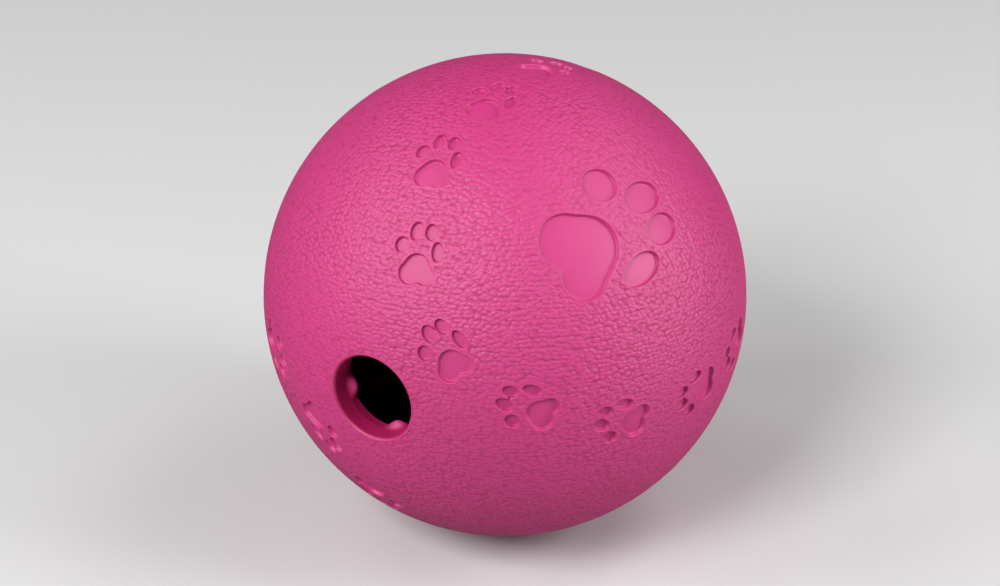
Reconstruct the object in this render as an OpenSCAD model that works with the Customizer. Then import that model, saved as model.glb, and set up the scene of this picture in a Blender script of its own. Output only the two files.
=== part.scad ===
// Treat dispensing ball: two bonded rubber half shells with engraved paw prints
// and one mouth, round a loose hard plastic labyrinth that turns inside them.
// Frame: origin at the centre of the ball, -Y out through the mouth, +Z up.

/* [Ball] */
// Outside diameter of the ball
ball_d = 90; // [70:1:120]
// Thickness of the rubber wall
wall_t = 5.3; // [4:0.1:6.5]

/* [Mouth] */
// Diameter of the round mouth
mouth_d = 16; // [12:0.1:18]
// Radius that rounds the outer edge of the mouth
lip_r = 0.6; // [0.3:0.1:1.2]
// Length of the flare at the inner end of the mouth, in which the nubs stand
flare_l = 1.8; // [1.7:0.1:2.6]
// How much the flare widens the mouth all round
flare_w = 0.3; // [0.2:0.05:0.5]
// Number of nubs at the inner end of the mouth
nub_count = 4; // [2:1:6]
// Width of a nub where it leaves the wall of the mouth
nub_w = 4.2; // [3:0.1:5]
// Height of a nub over the wall of the mouth
nub_h = 1.35; // [0.8:0.05:1.6]
// Length of a nub along the mouth
nub_l = 1.5; // [1:0.1:2.5]
// Angle of the first nub above the horizontal
nub_angle = 16; // [0:1:90]

/* [Paw prints] */
// Length of a small paw print from heel to toe tip
small_paw_l = 11.4; // [8:0.1:12]
// Length of a large paw print from heel to toe tip
large_paw_l = 27.4; // [20:0.1:28]
// Depth of the engraved paw prints
paw_depth = 0.9; // [0.5:0.1:1.5]
// Small paw prints on each quarter of the trail
quarter_count = 7; // [4:1:7]
// Turn of the whole pattern about the mouth
pattern_turn = -3.5; // [-30:0.5:30]
// Angle between the mouth and the centre of a large paw print
large_paw_angle = 71.4; // [70:0.1:72]

/* [Labyrinth] */
// Thickness of a baffle
baffle_t = 2; // [1.6:0.1:2.6]
// Height of the chamber between two baffles
chamber_h = 16; // [13:0.5:17]
// Diameter of the port in each baffle
port_d = 18; // [14:0.5:20]
// Distance from the post's axis to the middle of a port
port_r = 21; // [19:0.5:23]
// Turn from the port in one baffle to the port in the next
port_step = 120; // [60:5:180]
// Diameter of the post
post_d = 8; // [7:0.1:9]
// Distance across the two flats of the post
post_flats = 6.6; // [6:0.1:6.8]
// Outside diameter of the spacers
spacer_d = 12; // [11:0.1:13]
// Diameter of the post's flange and of the cap
flange_d = 14; // [13:0.1:16]
// Thickness of the post's flange
flange_t = 1.6; // [1.2:0.1:2.2]
// Height of the cap
cap_h = 6; // [5:0.1:7]
// Thickness of the top of the cap
cap_top_t = 1.4; // [1:0.1:2]
// Radius that rounds the top of the cap
cap_edge_r = 1; // [0.5:0.1:1.3]

/* [Seats in the rubber] */
// Width of the shoulders that hold the rim of the middle baffle
seat_w = 2.6; // [2:0.1:3.5]
// Height that the slope of a shoulder reaches over its full width
seat_h = 4.6; // [3.5:0.1:6]
// Height of the square part of a shoulder before it slopes to the wall
seat_land = 1.4; // [1:0.1:2]
// Outside diameter of the socket for the post
socket_d = 16; // [14:0.5:18]
// Height of the socket over the inside of the wall
socket_h = 6.7; // [5:0.1:8]
// Rubber left under the socket's hole, over the inside of the wall
socket_floor = 1.2; // [0.8:0.1:2]

/* [Clearances] */
// Gap between the middle baffle and its shoulders, and at the end of the post
end_gap = 0.2; // [0.15:0.05:0.3]
// Gap between the rim of a baffle and the wall
rim_gap = 0.3; // [0.3:0.05:0.6]
// Gap round the post in its socket
bearing_gap = 0.1; // [0.05:0.01:0.1]
// Gap round the post in the baffles, the spacers and the cap
push_gap = 0.05; // [0.02:0.01:0.1]

/* [Hidden] */
$fn = 96;

ball_r = ball_d / 2;
inner_r = ball_r - wall_t;
mouth_r = mouth_d / 2;
post_r = post_d / 2;
// How far every cut runs past the face that it opens
over = ball_d / 90;

// Heights along the axis, which runs from the closed pole to the mouth
middle_top = baffle_t / 2;
front_low = middle_top + chamber_h;
front_top = front_low + baffle_t;
post_top = front_top + cap_h - cap_top_t - end_gap;
socket_top = inner_r - socket_h;
socket_low = inner_r - socket_floor;
post_low = socket_low - end_gap;

// A nub is a slice of a round bar that stands in the wall of the mouth
nub_root = sqrt(mouth_r * mouth_r - nub_w * nub_w / 4);
nub_rise = nub_root - mouth_r + nub_h;
nub_r = (nub_w * nub_w / 4 + nub_rise * nub_rise) / (2 * nub_rise);
nub_low = sqrt(inner_r * inner_r - mouth_r * mouth_r);

// Toes of a paw print: across, along, width and length as shares of its length,
// and the lean to the right in degrees
toe_shares = [[-0.312, 0.113, 0.226, 0.252, 16], [-0.091, 0.327, 0.210, 0.299, 8],
              [0.146, 0.318, 0.197, 0.266, -3], [0.277, 0.015, 0.182, 0.318, -3]];
// Pad of a paw print: three circles, each across, along and radius as shares
pad_shares = [[-0.035, -0.217, 0.190], [-0.144, -0.318, 0.182], [0.102, -0.349, 0.153]];
// How far out from the circles' centres the straight sides of a pad lie
side_share = 0.96;
// Where the hand-laid small paw prints of a quarter leave the even trail, first on
// the mouth's half and then on the other: along and across as shares of the length,
// and a turn to the left in degrees
step_shares = [[[-0.160, -0.014, 0], [-0.140, 0.053, -6], [-0.014, 0.127, 5.5],
                [0.035, 0.013, 0], [0.073, 0.068, -7], [0.116, -0.008, 8.5],
                [0.060, 0.070, 12]],
               [[0.060, 0, 0], [-0.020, 0.053, -6], [0, 0.100, 5.5],
                [0.035, 0.013, 0], [0.048, 0.068, -7], [0.080, -0.008, 5],
                [0.045, 0.025, 12]]];
// How far the trail swings, on a unit ball
swing_share = 0.2984;
// Steps that measure the length of a quarter of the trail
trail_steps = 180;

// The trail is the seam curve of a tennis ball, here on a unit ball
function trail(t) =
    [(1 - swing_share) * cos(t) + swing_share * cos(3 * t),
     (1 - swing_share) * sin(t) - swing_share * sin(3 * t),
     2 * sqrt(swing_share * (1 - swing_share)) * sin(2 * t)];
// Length of the trail from its start to each step of the first quarter
function lengths(i = 0, sum = 0) =
    i > trail_steps ? [] :
    concat([sum], lengths(i + 1, sum + norm(trail(90 * (i + 1) / trail_steps)
                                            - trail(90 * i / trail_steps))));
trail_lengths = lengths();
// Angle at which the trail has a given share of a quarter's length behind it
function trail_at(s) =
    let (q = floor(s), l = (s - q) * trail_lengths[trail_steps]) 90 * q + lookup(l,
        [for (i = [0 : trail_steps]) [trail_lengths[i], 90 * i / trail_steps]]);

function unit(v) = v / norm(v);
function turned(v, a) = [v.x * cos(a) - v.y * sin(a), v.x * sin(a) + v.y * cos(a)];

// Direction across the bare strip of one half, where the start of a round face lies
function bare_angle(side) = side > 0 ? 135 : 45;

// Puts a flat outline on the ball, out along dir and with its top towards ahead
module on_ball(dir, ahead) {
    n = unit(dir);
    x = unit(cross(ahead, n));
    y = cross(n, x);
    multmatrix([[x.x, y.x, n.x, 0], [x.y, y.y, n.y, 0], [x.z, y.z, n.z, 0]]) children();
}

// Two circles and the straight sides that join them, just inside their tangents
module joined_circles(a, ra, b, rb) {
    u = unit(b - a);
    lean = acos((ra - rb) / norm(b - a));
    left = side_share * turned(u, lean);
    right = side_share * turned(u, -lean);
    translate(a) circle(ra);
    translate(b) circle(rb);
    polygon([a + ra * left, b + rb * left, b + rb * right, a + ra * right]);
}

module toe(w, l) {
    translate([0, (l - w) / 2]) circle(w / 2);
    translate([0, (w - l) / 2]) circle(w / 2);
    square([w, l - w], center = true);
}

module paw_outline(l) {
    for (s = toe_shares)
        translate([s[0] * l, s[1] * l]) rotate(-s[4]) toe(s[2] * l, s[3] * l);
    middles = [for (s = pad_shares) [s[0] * l, s[1] * l]];
    for (i = [1, 2])
        joined_circles(middles[0], pad_shares[0][2] * l, middles[i], pad_shares[i][2] * l);
    polygon(middles);
}

// One paw print as a cutter, from its floor, which is round like the ball, outwards
module paw_cutter(l) {
    floor_r = ball_r - paw_depth;
    low = sqrt(pow(floor_r, 2) - l * l / 3) - over;
    difference() {
        translate([0, 0, low])
            linear_extrude(ball_r + over - low) paw_outline(l);
        rotate([0, 90, 0]) sphere(floor_r, $fn = 2 * $fn);
    }
}

// The paw prints of one half: side is 1 on the mouth's half and -1 on the other
module paw_cutters(side) {
    for (turn = [0, 1], i = [0 : quarter_count - 1]) {
        quarter = 2 * turn + (side > 0 ? 0 : 1);
        t = trail_at(quarter + (i + 0.5) / quarter_count);
        step = step_shares[side > 0 ? 0 : 1][i];
        n = unit(trail(t));
        y = unit(cross(n, cross(trail(t + 1) - trail(t), n)));
        x = cross(y, n);
        share = small_paw_l / ball_r;
        on_ball(n + share * (step[0] * y + step[1] * x), y)
            rotate(step[2]) paw_cutter(small_paw_l);
    }
    for (turn = [0, 1]) {
        a = 45 + 180 * turn + (side > 0 ? 0 : 90);
        dir = [cos(a) * sin(large_paw_angle), sin(a) * sin(large_paw_angle),
               side * cos(large_paw_angle)];
        on_ball(dir, [0, 0, -side]) paw_cutter(large_paw_l);
    }
}

// A shoulder over the parting plane, square below and sloping to the wall above
module seat_shoulder() {
    low = middle_top + end_gap;
    deep = seat_w + wall_t / 2;
    slope = (seat_h - seat_land) / seat_w;
    rotate_extrude() translate([inner_r - seat_w, low])
        polygon([[0, 0], [deep, 0], [deep, seat_land + slope * deep], [0, seat_land]]);
}

// The whole ball before it is hollowed, its round face starting on a bare strip
module ball_body(side) {
    rotate(pattern_turn + bare_angle(side)) sphere(ball_r, $fn = 2 * $fn);
}

// Hollows a body and keeps the half over the parting plane, with its shoulder
module half_shell(side) {
    difference() {
        union() {
            difference() {
                children();
                rotate(pattern_turn + bare_angle(side)) sphere(inner_r, $fn = 2 * $fn);
            }
            seat_shoulder();
        }
        translate([0, 0, -ball_r - over])
            cylinder(r = ball_r + over, h = ball_r + over);
    }
}

// The mouth, straight from the lip inwards and then flared, up to the hollow
module mouth() {
    flare_low = nub_low - flare_l;
    rotate_extrude()
        polygon([[0, flare_low], [mouth_r + 2 * flare_w, flare_low],
                 [mouth_r, nub_low + flare_l], [mouth_r, ball_r + over],
                 [0, ball_r + over]]);
}

// Rounds the outer edge of the mouth
module lip_cutter() {
    c = [mouth_r + lip_r, sqrt(pow(ball_r - lip_r, 2) - pow(mouth_r + lip_r, 2))];
    rotate_extrude()
        difference() {
            polygon([c, [mouth_r - over, c.y], [mouth_r - over, ball_r + over],
                     c * (ball_r + over) / norm(c)]);
            translate(c) circle(lip_r);
        }
}

module nubs() {
    for (i = [0 : nub_count - 1])
        rotate(nub_angle + 360 * i / nub_count)
            translate([mouth_r - nub_h + nub_r, 0, nub_low - nub_r])
                cylinder(r = nub_r, h = nub_r + nub_l);
}

// A round plate with its port and the post's two-flat hole
module baffle(rim_r, turn) {
    difference() {
        cylinder(r = rim_r, h = baffle_t);
        translate([0, 0, -over]) {
            rotate(turn) translate([port_r, 0]) cylinder(d = port_d, h = baffle_t + 2 * over);
            post_section(push_gap, baffle_t + 2 * over);
        }
    }
}

module post_section(gap, h) {
    intersection() {
        cylinder(r = post_r + gap, h = h);
        translate([-post_r - over, -post_flats / 2 - gap, 0])
            cube([post_d + 2 * over, post_flats + 2 * gap, h]);
    }
}

module spacer() {
    difference() {
        cylinder(d = spacer_d, h = chamber_h);
        translate([0, 0, -over])
            cylinder(r = post_r + push_gap, h = chamber_h + 2 * over);
    }
}

function rim_at(z) = sqrt(inner_r * inner_r - z * z) - rim_gap;

// Stands the axis in the ball's frame, mouth towards -Y
module placed() {
    rotate([90, 0, 0]) children();
}

module shell_front() {
    color("#d6508c") placed() difference() {
        half_shell(1) {
            difference() {
                ball_body(1);
                mouth();
            }
            nubs();
        }
        lip_cutter();
        rotate(pattern_turn) paw_cutters(1);
    }
}

module shell_back() {
    color("#d6508c") placed() difference() {
        mirror([0, 0, 1]) difference() {
            union() {
                half_shell(-1) ball_body(-1);
                translate([0, 0, socket_top]) cylinder(d = socket_d, h = socket_h + wall_t / 2);
            }
            translate([0, 0, socket_top - over])
                cylinder(r = post_r + bearing_gap, h = socket_low - socket_top + over);
        }
        rotate(pattern_turn) paw_cutters(-1);
    }
}

module maze_post() {
    color("#1c1c1e") placed() {
        translate([0, 0, -post_low]) cylinder(r = post_r, h = post_low - front_top);
        translate([0, 0, -front_top - flange_t]) cylinder(d = flange_d, h = flange_t);
        translate([0, 0, -front_top]) post_section(0, front_top + post_top);
    }
}

module rear_baffle() {
    color("#202022") placed() translate([0, 0, -front_top])
        baffle(rim_at(front_top), 90 - port_step);
}

module rear_spacer() {
    color("#2a2a2c") placed() translate([0, 0, -front_low]) spacer();
}

module middle_baffle() {
    color("#202022") placed() translate([0, 0, -middle_top])
        baffle(rim_at(middle_top), 90);
}

module front_spacer() {
    color("#2a2a2c") placed() translate([0, 0, middle_top]) spacer();
}

module front_baffle() {
    color("#202022") placed() translate([0, 0, front_low])
        baffle(rim_at(front_top), 90 + port_step);
}

module post_cap() {
    color("#1c1c1e") placed() translate([0, 0, front_top]) difference() {
        union() {
            cylinder(d = flange_d, h = cap_h - cap_edge_r);
            cylinder(d = flange_d - 2 * cap_edge_r, h = cap_h);
            translate([0, 0, cap_h - cap_edge_r])
                rotate_extrude() translate([flange_d / 2 - cap_edge_r, 0]) circle(cap_edge_r);
        }
        translate([0, 0, -over]) post_section(push_gap, cap_h - cap_top_t + over);
    }
}

shell_front();
shell_back();
maze_post();
rear_baffle();
rear_spacer();
middle_baffle();
front_spacer();
front_baffle();
post_cap();
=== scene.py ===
"""The looks of a treat dispensing ball: engraved rubber skins round a black plastic labyrinth."""

import bpy
import numpy as np
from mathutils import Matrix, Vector


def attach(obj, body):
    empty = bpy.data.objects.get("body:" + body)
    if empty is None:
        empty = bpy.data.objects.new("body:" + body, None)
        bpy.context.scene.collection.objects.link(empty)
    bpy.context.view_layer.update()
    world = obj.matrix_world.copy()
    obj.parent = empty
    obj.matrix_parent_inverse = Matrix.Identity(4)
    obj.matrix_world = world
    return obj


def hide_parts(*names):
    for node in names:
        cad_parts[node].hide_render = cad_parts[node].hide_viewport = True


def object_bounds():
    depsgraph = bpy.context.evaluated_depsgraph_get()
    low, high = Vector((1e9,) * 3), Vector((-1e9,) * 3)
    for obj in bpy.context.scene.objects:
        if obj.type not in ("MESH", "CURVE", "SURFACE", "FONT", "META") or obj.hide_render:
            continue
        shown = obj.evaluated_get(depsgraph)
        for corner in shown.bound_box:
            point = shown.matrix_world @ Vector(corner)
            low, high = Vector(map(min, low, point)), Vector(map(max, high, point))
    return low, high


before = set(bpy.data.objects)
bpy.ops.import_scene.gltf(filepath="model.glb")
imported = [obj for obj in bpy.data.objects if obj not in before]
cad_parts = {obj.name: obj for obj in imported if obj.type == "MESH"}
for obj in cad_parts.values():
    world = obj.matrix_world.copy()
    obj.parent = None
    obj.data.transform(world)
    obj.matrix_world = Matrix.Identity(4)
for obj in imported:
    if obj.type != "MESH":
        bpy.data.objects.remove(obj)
cad_low, cad_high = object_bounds()


# The labyrinth: a flanged post, three baffles, two spacer tubes and a cap. All are moulded
# in black plastic with a fine spark finish and slide on the post's two flats. The packed
# parts have the right shape, so they keep it and get their finish here.

MILLIMETRE = 0.001
BLACK, CLOUDY_BLACK = (0.0035, 0.0035, 0.0037, 1), (0.0055, 0.0055, 0.006, 1)
BLACK_SPECULAR, BLACK_ROUGHNESS = 0.12, (0.55, 0.7)
SPARK_SCALE, SPARK_STRENGTH, SPARK_DEPTH = 2.2 / MILLIMETRE, 0.5, 0.03 * MILLIMETRE
FLOW_SCALE = 0.06 / MILLIMETRE
NOISE_SPAN = (0.3, 0.7)           # between these lie nearly all values of a noise


class Tone:
    """A socket in a material. An expression on tones adds its Math nodes to the material."""

    def __init__(self, material, socket):
        self.material, self.socket = material, socket

    def maths(self, operation, first, second):
        return add_node(self.material, "ShaderNodeMath", {0: first, 1: second},
                        operation=operation)

    def __sub__(self, other):
        return self.maths("SUBTRACT", self, other)

    def __rsub__(self, other):
        return self.maths("SUBTRACT", other, self)

    def __mul__(self, other):
        return self.maths("MULTIPLY", self, other)

    __rmul__ = __mul__

    def between(self, low, high, to_low=0.0, to_high=1.0):
        """Rises smoothly from to_low where the tone is low to to_high where it is high."""
        sockets = {"Value": self, "From Min": low, "From Max": high,
                   "To Min": to_low, "To Max": to_high}
        return add_node(self.material, "ShaderNodeMapRange", sockets,
                        interpolation_type="SMOOTHSTEP")

    def blend(self, first, second):
        """The first colour where the tone is 0, and the second where it is 1."""
        sockets = {"Factor": self, "A": first, "B": second}
        return add_node(self.material, "ShaderNodeMix", sockets, output=2, data_type="RGBA")


def add_node(material, kind, sockets=None, output=0, **settings):
    """Adds one node: its settings first, then its sockets' values or links. Gives one output."""
    node = material.node_tree.nodes.new(kind)
    for name, value in settings.items():
        setattr(node, name, value)
    for name, value in (sockets or {}).items():
        if isinstance(value, Tone):
            material.node_tree.links.new(value.socket, node.inputs[name])
        else:
            node.inputs[name].default_value = value
    return Tone(material, node.outputs[output])


def new_material(name, **shader):
    """A material with a Principled shader whose plain sockets hold the given values."""
    material = bpy.data.materials.new(name)
    material.use_nodes = True
    surface = material.node_tree.nodes["Principled BSDF"]
    for socket, value in shader.items():
        surface.inputs[socket.replace("_", " ")].default_value = value
    place = add_node(material, "ShaderNodeTexCoord", output="Object")
    return material, surface, place


def linked(surface, socket, tone):
    """Feeds one socket of the shader from a tone."""
    surface.id_data.links.new(tone.socket, surface.inputs[socket])


def moulded_black():
    """Black plastic with a fine spark grain and faint cloudy flow marks in its gloss."""
    plastic, surface, place = new_material("moulded_black", Specular_IOR_Level=BLACK_SPECULAR)
    spark = add_node(plastic, "ShaderNodeTexNoise",
                     {"Vector": place, "Scale": SPARK_SCALE, "Detail": 3.0, "Roughness": 0.6})
    flow = add_node(plastic, "ShaderNodeTexNoise",
                    {"Vector": place, "Scale": FLOW_SCALE, "Detail": 2.0})
    linked(surface, "Roughness", flow.between(*NOISE_SPAN, *BLACK_ROUGHNESS))
    linked(surface, "Base Color", flow.blend(BLACK, CLOUDY_BLACK))
    bump = add_node(plastic, "ShaderNodeBump",
                    {"Height": spark, "Strength": SPARK_STRENGTH, "Distance": SPARK_DEPTH})
    linked(surface, "Normal", bump)
    return plastic


labyrinth_finish = moulded_black()
for node in ("maze_post", "rear_baffle", "rear_spacer", "middle_baffle", "front_spacer",
             "front_baffle", "post_cap"):
    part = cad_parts[node]
    part.data.materials.clear()
    part.data.materials.append(labyrinth_finish)


# The rear half of the ball: natural rubber, 5.3 mm thick, moulded in a mould that has a grain
# and the paw prints on it. Inside are the blind socket for the labyrinth's post and a shoulder
# under the rim of the middle baffle. Its flat edge is bonded to the front half.

# The second colour is painted shade: the grain's creases are coloured a darker pink where shade
# would fall in them.
PINK, CREASE_SHADE = (0.445, 0.024, 0.150, 1), (0.37, 0.017, 0.110, 1)
# The throat's colour is painted shade: a deeper pink where less light reaches into the mouth.
THROAT_SHADE_PINK = (0.37, 0.008, 0.085, 1)
RUBBER_SPECULAR, RUBBER_ROUGHNESS = 0.52, (0.47, 0.55)
CLOUD_SCALE = 0.03 / MILLIMETRE

# The grain: its pebbles' size, how uneven and how much wider than tall they are, and the
# direction across their rows, which wander by a noise.
PEBBLE, PEBBLE_UNEVENNESS, PEBBLE_FLATNESS = 1.0 * MILLIMETRE, 0.65, 1.35
GRAIN_UP = Vector((-0.256, 0.411, 0.875))
WANDER_SCALE, WANDER_REACH = 0.8 / MILLIMETRE, 0.8 * PEBBLE
# The heights of its domes and of the fine noise on them, as shares of the grain's depth, and
# the wide patches in which it is weaker or stronger.
DOME_HEIGHT, FINE_HEIGHT, GRAIN_DEPTH = 2.0, 0.1, 0.14 * MILLIMETRE
FINE_SCALE, PATCH_SCALE = 2.6 / MILLIMETRE, 0.045 / MILLIMETRE
PATCH_SPAN, PATCH_STRENGTH = (0.35, 0.65), (0.7, 1.0)
# Over this span the painted crease shade comes in.
CREASE_SHADE_SPAN = (0.4, 0.8)          # from a pebble's middle to the crease, in pebbles
# Distances from the ball's axis between which the throat's painted shade, a deeper pink, comes and
# goes.
THROAT_SHADE_COMES = (7.2 * MILLIMETRE, 7.9 * MILLIMETRE)
THROAT_SHADE_GOES = (8.1 * MILLIMETRE, 8.7 * MILLIMETRE)


def pink_rubber():
    """Matte rubber with a leathery grain: round-topped pebbles in wavy rows, wider than tall,
    whose creases are painted darker as shade. The grain fades where the skin's grain attribute
    does, so floors and rims stay smooth, and the throat is painted a deeper pink as shade."""
    rubber, surface, place = new_material("pink_rubber", Specular_IOR_Level=RUBBER_SPECULAR)
    mask = add_node(rubber, "ShaderNodeAttribute", output="Fac", attribute_name="grain")
    wander = add_node(rubber, "ShaderNodeTexNoise",
                      {"Vector": place, "Scale": WANDER_SCALE, "Detail": 2.0, "Roughness": 0.6},
                      output="Color")
    bent = add_node(rubber, "ShaderNodeVectorMath",
                    {0: wander, 1: 3 * (WANDER_REACH,), 2: place}, operation="MULTIPLY_ADD")
    rise = add_node(rubber, "ShaderNodeVectorMath", {0: bent, 1: GRAIN_UP}, output="Value",
                    operation="DOT_PRODUCT")
    rows = add_node(rubber, "ShaderNodeVectorMath",
                    {0: rise, 1: (PEBBLE_FLATNESS - 1) * GRAIN_UP, 2: bent},
                    operation="MULTIPLY_ADD")
    far = add_node(rubber, "ShaderNodeTexVoronoi",
                   {"Vector": rows, "Scale": 1 / PEBBLE, "Randomness": PEBBLE_UNEVENNESS},
                   output="Distance")
    patch = add_node(rubber, "ShaderNodeTexNoise",
                     {"Vector": place, "Scale": PATCH_SCALE, "Detail": 1.0})
    strength = mask * patch.between(*PATCH_SPAN, *PATCH_STRENGTH)
    fine = add_node(rubber, "ShaderNodeTexNoise",
                    {"Vector": place, "Scale": FINE_SCALE, "Detail": 2.0})
    height = fine * FINE_HEIGHT - DOME_HEIGHT * far * far * strength
    bump = add_node(rubber, "ShaderNodeBump",
                    {"Height": height, "Strength": 1.0, "Distance": GRAIN_DEPTH})
    linked(surface, "Normal", bump)
    cloud = add_node(rubber, "ShaderNodeTexNoise",
                     {"Vector": place, "Scale": CLOUD_SCALE, "Detail": 3.0})
    linked(surface, "Roughness", cloud.between(*NOISE_SPAN, *RUBBER_ROUGHNESS))
    beside = add_node(rubber, "ShaderNodeVectorMath", {0: place, 1: (1, 0, 1)},
                      operation="MULTIPLY")
    across = add_node(rubber, "ShaderNodeVectorMath", {0: beside}, output="Value",
                      operation="LENGTH")
    # Painted shade: the smooth throat is coloured a deeper pink, as if in shade inside the mouth.
    throat = (across.between(*THROAT_SHADE_COMES) * across.between(*THROAT_SHADE_GOES, 1.0, 0.0)
              * (1 - mask))
    # Painted shade: the grain's creases are coloured darker where shade would fall in them.
    skin_colour = (far.between(*CREASE_SHADE_SPAN) * strength).blend(PINK, CREASE_SHADE)
    linked(surface, "Base Color", throat.blend(skin_colour, THROAT_SHADE_PINK))
    return rubber


BALL_R = round((cad_high.x - cad_low.x) / 2, 4)
WALL = 5.3 * MILLIMETRE
INNER_R = BALL_R - WALL
SEAT_LOW, SEAT_LAND = 1.2 * MILLIMETRE, 1.4 * MILLIMETRE
SEAT_WIDTH, SEAT_SLOPE = 2.6 * MILLIMETRE, 3.2 / 2.6
SOCKET_R, SOCKET_TOP = 8.0 * MILLIMETRE, INNER_R - 6.7 * MILLIMETRE
SOCKET_HOLE_R, SOCKET_FLOOR = 4.1 * MILLIMETRE, INNER_R - 1.2 * MILLIMETRE
SEAM_HEIGHT, SEAM_WIDTH, SEAM_ROWS = 0.035 * MILLIMETRE, 0.3 * MILLIMETRE, 4

SKIN_STEP = 0.65 * MILLIMETRE     # between points of a row of the engraved outside
ROW_SHARE = 0.87                  # of that step between rows, as in a net of even triangles
LINING_STEP = 1.6 * MILLIMETRE    # between points of the inside, which hardly shows

# Toes: across, along, width, length as shares of the paw's length, and the lean to the right.
TOE_SHARES = ((-0.312, 0.113, 0.226, 0.252, 16), (-0.091, 0.327, 0.210, 0.299, 8),
              (0.146, 0.318, 0.197, 0.266, -3), (0.277, 0.015, 0.182, 0.318, -3))
# Pad: three circles, each across, along and radius as shares of the paw's length.
PAD_SHARES = ((-0.035, -0.217, 0.190), (-0.144, -0.318, 0.182), (0.102, -0.349, 0.153))
PAD_BLEND_SHARE = 0.05
# Each small paw's own step along and across the trail, as shares, and its turn to the left,
# for a quarter of the trail on the mouth's half and for one on the other half.
FRONT_STEPS = ((-0.160, -0.014, 0), (-0.140, 0.053, -6), (-0.014, 0.127, 5.5),
               (0.035, 0.013, 0), (0.073, 0.068, -7), (0.116, -0.008, 8.5),
               (0.060, 0.070, 12))
REAR_STEPS = ((0.060, 0, 0), (-0.020, 0.053, -6), (0, 0.100, 5.5), (0.035, 0.013, 0),
              (0.048, 0.068, -7), (0.080, -0.008, 5), (0.045, 0.025, 12))
SMALL_PAW, LARGE_PAW = 11.4 * MILLIMETRE, 27.4 * MILLIMETRE
PATTERN_TURN, LARGE_PAW_ANGLE = -3.5, 71.4
SWING_SHARE = 0.2984              # how far the trail swings towards the mouth and back

# The engraving's edge in section, from a tight rounding outside the outline down a steep wall
# to the floor: how far outside the outline, and how deep.
EDGE = np.array([(0.16, 0.0), (0.06, 0.012), (0.0, 0.08), (-0.04, 0.25), (-0.08, 0.58),
                 (-0.14, 0.72), (-0.24, 0.78)]) * MILLIMETRE
ON_THE_LINE = 1e-9                # a point this near to a cut counts as on it
SMOOTH_MARGIN, GRAIN_FADE = 0.1 * MILLIMETRE, 0.4 * MILLIMETRE
SHARP_ANGLE = 60


def unit(v):
    """Arrows of length 1: each over its own length."""
    return v / np.linalg.norm(v, axis=-1, keepdims=True)


def trail(t):
    """The seam of a tennis ball on a unit ball, at angles t in degrees: a circle of radius
    1 - b, on it one of radius b that turns three times the other way, and a height that
    swings up and down twice in a round."""
    t, b = np.radians(t), SWING_SHARE
    return np.stack([(1 - b) * np.cos(t) + b * np.cos(3 * t),
                     (1 - b) * np.sin(t) - b * np.sin(3 * t),
                     2 * np.sqrt(b * (1 - b)) * np.sin(2 * t)], -1)


def turned_about_axis(v, degrees):
    """Arrows turned about the ball's axis."""
    c, s = np.cos(np.radians(degrees)), np.sin(np.radians(degrees))
    return v @ np.array([[c, s, 0], [-s, c, 0], [0, 0, 1]])


def paw_places(side):
    """The paw prints of one half: outward direction, direction of the toes and length. The
    small ones step along the trail by equal arc lengths, each a little off, and a large one
    stands in each lobe of the trail."""
    places = []
    own_steps = FRONT_STEPS if side > 0 else REAR_STEPS
    angles = np.linspace(0, 90, 721)                   # one quarter, in eighths of a degree
    lengths = np.append(0, np.cumsum(np.linalg.norm(np.diff(trail(angles), axis=0), axis=1)))
    for quarter in (0, 2) if side > 0 else (1, 3):
        for i, (along, across, twist) in enumerate(own_steps):
            share = (i + 0.5) / len(own_steps)
            t = 90 * quarter + np.interp(share * lengths[-1], lengths, angles)
            out = unit(trail(t))
            ahead = unit(np.cross(out, np.cross(trail(t + 1) - trail(t), out)))
            right = np.cross(ahead, out)
            out = unit(out + SMALL_PAW / BALL_R * (along * ahead + across * right))
            right = unit(np.cross(ahead, out))
            ahead = np.cross(out, right)
            twist = np.radians(twist)
            ahead = np.cos(twist) * ahead - np.sin(twist) * right
            places.append((out, ahead, SMALL_PAW))
        round_axis, off_axis = np.radians(45 + 90 * quarter), np.radians(LARGE_PAW_ANGLE)
        out = np.array([np.cos(round_axis) * np.sin(off_axis),
                        np.sin(round_axis) * np.sin(off_axis), side * np.cos(off_axis)])
        ahead = unit(np.cross(out, np.cross([0, 0, -side], out)))
        places.append((out, ahead, LARGE_PAW))
    return [(turned_about_axis(out, PATTERN_TURN), turned_about_axis(ahead, PATTERN_TURN), length)
            for out, ahead, length in places]


def oval_distance(x, y, width, length):
    """Distance to an upright oval, to first order: how far the point's share of the oval's
    size is from 1, over how fast that share grows there."""
    a, b = width / 2, length / 2
    share = np.maximum(np.hypot(x / a, y / b), 1e-6)
    growth = np.maximum(np.hypot(x / a ** 2, y / b ** 2) / share, 1 / b)
    return (share - 1) / growth


def tapered_distance(x, y, a, b):
    """Distance to two circles (x, y, radius) and the tangents that join them."""
    x, y, across, along = x - a[0], y - a[1], b[0] - a[0], b[1] - a[1]
    far = np.hypot(across, along)
    off, on = np.abs(x * along - y * across) / far, (x * across + y * along) / far
    slope = (a[2] - b[2]) / far
    rise = np.sqrt(1 - slope ** 2)
    place = rise * on - slope * off
    beside = rise * off + slope * on - a[2]
    return np.where(place < 0, np.hypot(off, on) - a[2],
                    np.where(place > rise * far, np.hypot(off, on - far) - b[2], beside))


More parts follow.
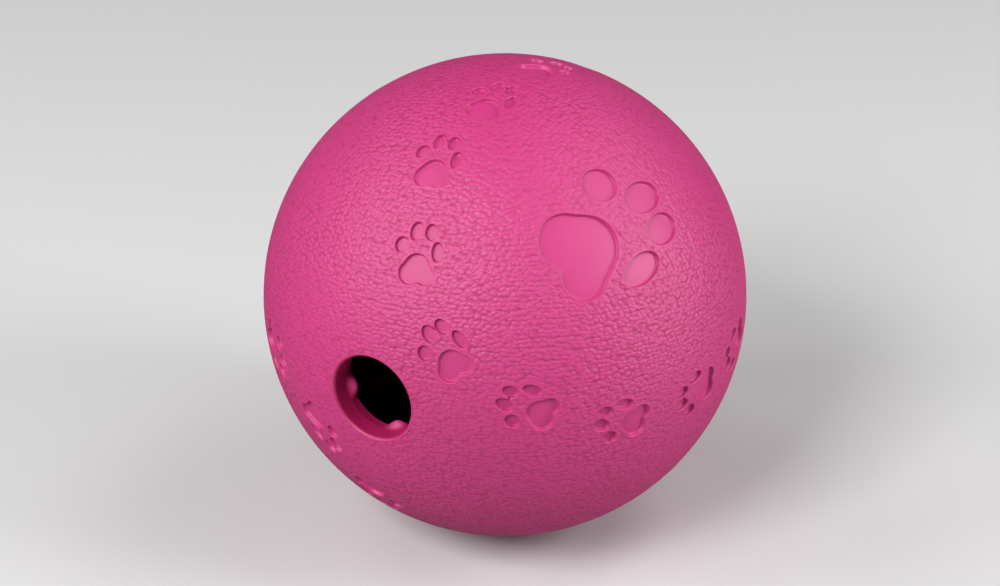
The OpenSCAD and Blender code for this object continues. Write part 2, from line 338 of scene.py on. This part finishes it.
def paw_distance(points, side):
    """Signed distance of points on the ball to the nearest outline of a paw print, negative
    inside: each paw is laid flat on the ball, and its toes and pad are taken one by one. The
    pad is two tapered lobes from one circle, with a soft fillet where they part."""
    nearest = np.full(len(points), BALL_R)
    for out, ahead, length in paw_places(side):
        x, y = points @ np.cross(ahead, out), points @ ahead
        facing = points @ out > 0
        shapes = []
        for across, along, width, long, lean in TOE_SHARES:
            c, s = np.cos(np.radians(lean)), np.sin(np.radians(lean))
            u, v = x - across * length, y - along * length
            shapes.append(oval_distance(c * u - s * v, s * u + c * v,
                                        width * length, long * length))
        circles = [np.array(share) * length for share in PAD_SHARES]
        left, right = (tapered_distance(x, y, circles[0], heel) for heel in circles[1:])
        blend = PAD_BLEND_SHARE * length
        mix = np.clip(0.5 + 0.5 * (right - left) / blend, 0, 1)
        shapes.append(right + mix * (left - right) - blend * mix * (1 - mix))
        nearest = np.where(facing, np.minimum(nearest, np.min(shapes, axis=0)), nearest)
    return nearest


def ring(radius, height, step):
    """A ring of points round the axis, about step apart; one point where it has no radius."""
    count = max(1, round(2 * np.pi * radius / step))
    turn = 2 * np.pi * np.arange(count) / count
    return np.stack([radius * np.cos(turn), radius * np.sin(turn), np.full(count, height)], 1)


def shell_rings(profile, step):
    """The rings that a profile of places across and along the axis sweeps round it."""
    return [ring(across, along, step) for across, along in profile]


def stitched(rings, closed):
    """Triangles between neighbouring rings of any counts. Each edge of one ring takes the
    corner of the other that lies at its middle, so the strip zips up without gaps."""
    starts = np.cumsum([0] + [len(r) for r in rings])
    pairs = [(i, i + 1) for i in range(len(rings) - 1)]
    if closed:
        pairs.append((len(rings) - 1, 0))
    triangles = []
    for low, high in pairs:
        m, n = len(rings[low]), len(rings[high])
        a, b = np.arange(m), np.arange(n)
        low_middles, high_middles = (a + 0.5) / m, (b + 0.5) / n
        if m > 1:
            third = np.searchsorted(high_middles, low_middles) % n
            triangles.append(np.stack([starts[low] + a, starts[low] + (a + 1) % m,
                                       starts[high] + third], 1))
        if n > 1:
            third = np.searchsorted(low_middles, high_middles, side="right") % m
            triangles.append(np.stack([starts[high] + (b + 1) % n, starts[high] + b,
                                       starts[low] + third], 1))
    return np.concatenate(triangles)


def cut_along(points, triangles, distance, level):
    """Cuts triangles of the ball's outside along the line where the distance has one value.
    Each crossed edge gets a point there, and each triangle falls into two or three."""
    over = distance - level
    sign = np.sign(np.where(np.abs(over) < ON_THE_LINE, 0, over))[triangles]
    edges = np.concatenate([triangles[:, [0, 1]], triangles[:, [1, 2]], triangles[:, [2, 0]]])
    crossed = np.concatenate([sign[:, 0] * sign[:, 1], sign[:, 1] * sign[:, 2],
                              sign[:, 2] * sign[:, 0]]) < 0
    ends, which = np.unique(np.sort(edges[crossed], axis=1), axis=0, return_inverse=True)
    share = over[ends[:, 0]] / (over[ends[:, 0]] - over[ends[:, 1]])
    fresh = points[ends[:, 0]] + share[:, None] * (points[ends[:, 1]] - points[ends[:, 0]])
    fresh = BALL_R * unit(fresh)
    middle = np.full(len(edges), -1)
    middle[crossed] = len(points) + which.ravel()
    middle = middle.reshape(3, -1).T                   # of the edges 01, 12 and 20
    pieces = [triangles[(middle < 0).all(1)]]
    for k in range(3):
        a, b, c = triangles[:, k], triangles[:, (k + 1) % 3], triangles[:, (k + 2) % 3]
        ab, bc, ca = middle[:, k], middle[:, (k + 1) % 3], middle[:, (k + 2) % 3]
        alone = (ab >= 0) & (ca >= 0)
        pieces += [np.stack(t, 1)[alone] for t in ((a, ab, ca), (ab, b, c), (ab, c, ca))]
        through = (bc >= 0) & (ab < 0) & (ca < 0)
        pieces += [np.stack(t, 1)[through] for t in ((a, b, bc), (a, bc, c))]
    return np.concatenate([points, fresh]), np.concatenate(pieces)


def engraved(points, triangles, outside, side):
    """Engraves the paw prints of one half into a shell. The outside's triangles are cut along
    the lines where the engraving's edge bends, and every point sinks by the edge's section."""
    distance = np.full(len(points), BALL_R)
    distance[outside] = paw_distance(points[outside], side)
    whole = outside[triangles].all(1)
    rest, skin = triangles[~whole], triangles[whole]
    for level in EDGE[:, 0]:
        count = len(points)
        points, skin = cut_along(points, skin, distance, level)
        distance = np.append(distance, paw_distance(points[count:], side))
    outside = np.append(outside, np.full(len(points) - len(outside), True))
    depth = np.interp(distance, EDGE[::-1, 0], EDGE[::-1, 1])
    grain = np.where(outside, np.clip((distance - SMOOTH_MARGIN) / GRAIN_FADE, 0, 1), 0)
    points = np.where(outside[:, None], points * (1 - depth / BALL_R)[:, None], points)
    return points, np.concatenate([skin, rest]), grain


def sphere_rows(radius, start, end, step):
    """Places across and along the axis on an arc round the centre of the ball, about step
    apart, between two angles from the axis: the angle's sine and cosine times the radius."""
    count = round(abs(np.radians(end - start)) * radius / step) + 1
    angle = np.radians(np.linspace(start, end, count))
    return list(zip(radius * np.sin(angle), radius * np.cos(angle)))


def skin_rows(end):
    """The outside from the parting plane, with its faint bead, to the given angle. The bead is
    half a wave high."""
    close = np.linspace(0, SEAM_WIDTH, SEAM_ROWS)
    bead = SEAM_HEIGHT * (0.5 + 0.5 * np.cos(np.pi * close / SEAM_WIDTH))
    seam = [((BALL_R + h) * np.sin(np.arccos(z / BALL_R)), z) for z, h in zip(close, bead)]
    start = 90 - np.degrees(np.arcsin(SEAM_WIDTH / BALL_R))
    return seam + sphere_rows(BALL_R, start, end, ROW_SHARE * SKIN_STEP)[1:]


def seat_profile():
    """Across and along for the shoulder, from the parting plane to where its slope meets the
    round inside."""
    lean = 1 + SEAT_SLOPE ** 2
    foot = SEAT_LOW + SEAT_LAND - SEAT_SLOPE * (INNER_R - SEAT_WIDTH)
    across = (-SEAT_SLOPE * foot + np.sqrt(lean * INNER_R ** 2 - foot ** 2)) / lean
    return [(INNER_R, 0), (np.sqrt(INNER_R ** 2 - SEAT_LOW ** 2), SEAT_LOW),
            (INNER_R - SEAT_WIDTH, SEAT_LOW), (INNER_R - SEAT_WIDTH, SEAT_LOW + SEAT_LAND),
            (across, foot + SEAT_SLOPE * across)]


def rear_shell():
    """Rings from the outside's pole over the parting plane and along the inside: the shoulder,
    the round lining, and the socket's rim, bore and floor, stitched and engraved."""
    seat = seat_profile()
    seat_angle = np.degrees(np.arctan2(*seat[-1]))
    socket_angle = np.degrees(np.arcsin(SOCKET_R / INNER_R))
    outside = shell_rings(skin_rows(0), SKIN_STEP)
    lining = sphere_rows(INNER_R, seat_angle, socket_angle, LINING_STEP)
    socket = [(SOCKET_R, SOCKET_TOP), (SOCKET_HOLE_R, SOCKET_TOP),
              (SOCKET_HOLE_R, SOCKET_FLOOR), (0, SOCKET_FLOOR)]
    inside = shell_rings(seat + lining[1:], LINING_STEP) + shell_rings(socket, LINING_STEP / 2)
    rings = outside[::-1] + inside
    points = np.concatenate(rings) * (1, 1, -1)
    is_outside = np.arange(len(points)) < sum(len(r) for r in outside)
    return engraved(points, stitched(rings, False), is_outside, -1)


def new_shell(name, points, triangles, grain):
    """Turns a shell from its axis frame to the ball's frame and makes it a smooth mesh."""
    mesh = bpy.data.meshes.new(name)
    points = points @ np.array([[1, 0, 0], [0, 0, 1], [0, -1, 0]])
    mesh.vertices.add(len(points))
    mesh.vertices.foreach_set("co", points.ravel())
    mesh.loops.add(3 * len(triangles))
    mesh.loops.foreach_set("vertex_index", triangles.ravel())
    mesh.polygons.add(len(triangles))
    mesh.polygons.foreach_set("loop_start", 3 * np.arange(len(triangles)))
    mesh.update(calc_edges=True)
    mesh.validate()
    mesh.attributes.new("grain", "FLOAT", "POINT").data.foreach_set("value", grain)
    mesh.shade_smooth()
    mesh.set_sharp_from_angle(angle=np.radians(SHARP_ANGLE))
    shell = bpy.data.objects.new(name, mesh)
    bpy.context.scene.collection.objects.link(shell)
    return shell


rubber_finish = pink_rubber()
rear_skin = new_shell("rear_skin", *rear_shell())
rear_skin.data.materials.append(rubber_finish)
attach(rear_skin, "ball")
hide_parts("shell_back")


# The front half of the ball: the same rubber, moulded with the mouth in it. The mouth has a
# rounded lip, and soft nubs at its inner end keep treats from falling out too fast.

MOUTH_R, LIP_R = 8.0 * MILLIMETRE, 0.6 * MILLIMETRE
FLARE_LENGTH, FLARE_WIDTH = 1.8 * MILLIMETRE, 0.3 * MILLIMETRE
FLARE_LEAN = FLARE_WIDTH / FLARE_LENGTH
NUB_HEIGHT, NUB_HALF_WIDTH, NUB_TOP = 1.45 * MILLIMETRE, 2.6 * MILLIMETRE, 1.2 * MILLIMETRE
NUB_ANGLE, NUB_COUNT, NUB_EDGE, NUB_SLIMNESS = 16, 4, 0.8 * MILLIMETRE, 1.1
# The throat's points: the step between them in a row, and the rows on each part of it.
THROAT_STEP = 0.2 * MILLIMETRE
LIP_ROWS, WALL_ROWS, NUB_ROWS, FLARE_ROWS = 9, 10, 13, 6

# The lip's small circle, and where the flare and the nubs' upper edge lie along the axis.
LIP_ACROSS = MOUTH_R + LIP_R
LIP_ALONG = np.sqrt((BALL_R - LIP_R) ** 2 - LIP_ACROSS ** 2)
LIP_ANGLE = np.degrees(np.arctan2(LIP_ACROSS, LIP_ALONG))
MOUTH_END = np.sqrt(INNER_R ** 2 - MOUTH_R ** 2)
FLARE_START, NUB_MIDDLE = MOUTH_END + FLARE_LENGTH, MOUTH_END + NUB_TOP


def throat_profile():
    """Across and along for the mouth, from the outside in: the lip, an arc that touches the
    outside and the wall, then the straight wall, and the flare, which widens evenly until it
    meets the round inside. Rows lie closest where the nubs rise."""
    turn = np.radians(np.linspace(90 - LIP_ANGLE, 180, LIP_ROWS))[1:]
    lip = [(LIP_ACROSS + LIP_R * np.cos(a), LIP_ALONG + LIP_R * np.sin(a)) for a in turn]
    reach, lean = MOUTH_R + FLARE_LEAN * FLARE_START, 1 + FLARE_LEAN ** 2
    end = (FLARE_LEAN * reach + np.sqrt(lean * INNER_R ** 2 - reach ** 2)) / lean
    rows = [np.linspace(LIP_ALONG, FLARE_START + NUB_EDGE, WALL_ROWS)[1:],
            NUB_MIDDLE + NUB_EDGE * np.cos(np.linspace(0, np.pi, NUB_ROWS)),
            np.linspace(NUB_MIDDLE - NUB_EDGE, end, FLARE_ROWS)[1:]]
    return lip + [(MOUTH_R + FLARE_LEAN * max(FLARE_START - z, 0), z)
                  for z in np.concatenate(rows)]


def with_nubs(throat, end):
    """Moves the throat's points towards the axis where the nubs stand. A nub is a half wave
    across, raised to a power that slims its sides, and rises smoothly along the wall. Points
    at the throat's end stay on the round inside."""
    height = throat[:, 2]
    stand = np.clip((NUB_MIDDLE + NUB_EDGE - height) / (2 * NUB_EDGE), 0, 1)
    stand = stand ** 2 * (3 - 2 * stand)
    angle = np.degrees(np.arctan2(throat[:, 1], throat[:, 0])) - NUB_ANGLE
    pitch = 360 / NUB_COUNT
    aside = np.radians(np.abs((angle + pitch / 2) % pitch - pitch / 2)) * MOUTH_R
    wave = np.cos(np.pi / 2 * np.clip(aside / NUB_HALF_WIDTH, 0, 1))
    nub = NUB_HEIGHT * wave ** NUB_SLIMNESS * stand
    radius = np.hypot(throat[:, 0], throat[:, 1])
    moved = throat[:, :2] * (1 - nub / radius)[:, None]
    on_inside = np.sqrt(INNER_R ** 2 - np.sum(moved ** 2, axis=1))
    height = np.where(height < end + ON_THE_LINE, on_inside, height)
    return np.column_stack([moved, height])


def front_shell():
    """Rings from the parting plane over the outside to the lip, through the throat with its
    nubs, and back along the lining and the shoulder, stitched and engraved."""
    seat, throat = seat_profile(), throat_profile()
    seat_angle, throat_angle = (np.degrees(np.arctan2(*place)) for place in (seat[-1], throat[-1]))
    outside = shell_rings(skin_rows(LIP_ANGLE), SKIN_STEP)
    lining = sphere_rows(INNER_R, throat_angle, seat_angle, LINING_STEP)
    neck = shell_rings(throat, THROAT_STEP)
    inside = shell_rings(lining[1:-1] + seat[::-1], LINING_STEP)
    rings = outside + neck + inside
    points = np.concatenate([*outside, with_nubs(np.concatenate(neck), throat[-1][1]), *inside])
    is_outside = np.arange(len(points)) < sum(len(r) for r in outside)
    return engraved(points, stitched(rings, True), is_outside, 1)


front_skin = new_shell("front_skin", *front_shell())
front_skin.data.materials.append(rubber_finish)
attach(front_skin, "ball")
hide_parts("shell_front")


# The stage: a pale floor under the ball, which is not mirrored in it, soft lights above and in
# front, and the camera, which looks down on the ball from the right of its mouth.

FLOOR_REACH, FLOOR_GREY, FLOOR_ROUGHNESS = 3.0, (0.55, 0.55, 0.55, 1), 0.6
floor_mesh = bpy.data.meshes.new("floor")
floor_mesh.from_pydata([(FLOOR_REACH * x, FLOOR_REACH * y, cad_low.z)
                        for x, y in ((-1, -1), (1, -1), (1, 1), (-1, 1))], [], [(0, 1, 2, 3)])
floor = bpy.data.objects.new("floor", floor_mesh)
bpy.context.scene.collection.objects.link(floor)
floor.data.materials.append(
    new_material("pale_floor", Base_Color=FLOOR_GREY, Roughness=FLOOR_ROUGHNESS)[0])
floor.visible_glossy = False


def soft_light(name, place, size, power):
    """A square area light that faces the ball."""
    light = bpy.data.lights.new(name, "AREA")
    light.energy, light.size = power, size
    lamp = bpy.data.objects.new(name, light)
    bpy.context.scene.collection.objects.link(lamp)
    lamp.location = place
    lamp.rotation_euler = Vector(place).to_track_quat("Z", "Y").to_euler()


soft_light("front_light", (-0.037, -0.688, 0.579), 0.35, 7.4)
soft_light("left_light", (-0.533, -0.569, 0.45), 0.35, 3.4)
soft_light("right_light", (0.746, 0.227, 0.45), 0.35, 4.1)
soft_light("high_right_light", (0.431, 0.131, 0.779), 0.35, 1.2)
soft_light("low_right_light", (0.853, 0.259, 0.125), 0.25, 2.9)
soft_light("rear_left_light", (-0.578, -0.019, 0.689), 0.35, 1.1)
soft_light("rear_right_light", (0.273, 0.51, 0.689), 0.35, 1.2)

STUDIO_GLOW = 0.1
world = bpy.data.worlds.new("studio")
world.use_nodes = True
glow = world.node_tree.nodes["Background"].inputs
glow["Strength"].default_value = STUDIO_GLOW
glow["Color"].default_value = (1.0, 1.0, 1.0, 1.0)
bpy.context.scene.world = world

AZIMUTH, ELEVATION, DISTANCE = np.radians(31.9), np.radians(28.95), 0.517
back = Vector((np.sin(AZIMUTH) * np.cos(ELEVATION), -np.cos(AZIMUTH) * np.cos(ELEVATION),
               np.sin(ELEVATION)))
lens = bpy.data.cameras.new("camera")
lens.lens, lens.shift_x, lens.shift_y, lens.clip_start = 99.5, -0.005, 0.0016, 0.01
camera = bpy.data.objects.new("camera", lens)
bpy.context.scene.collection.objects.link(camera)
camera.location = back * DISTANCE
camera.rotation_euler = back.to_track_quat("Z", "Y").to_euler()
bpy.context.scene.camera = camera
bpy.context.scene.view_settings.view_transform = "Standard"
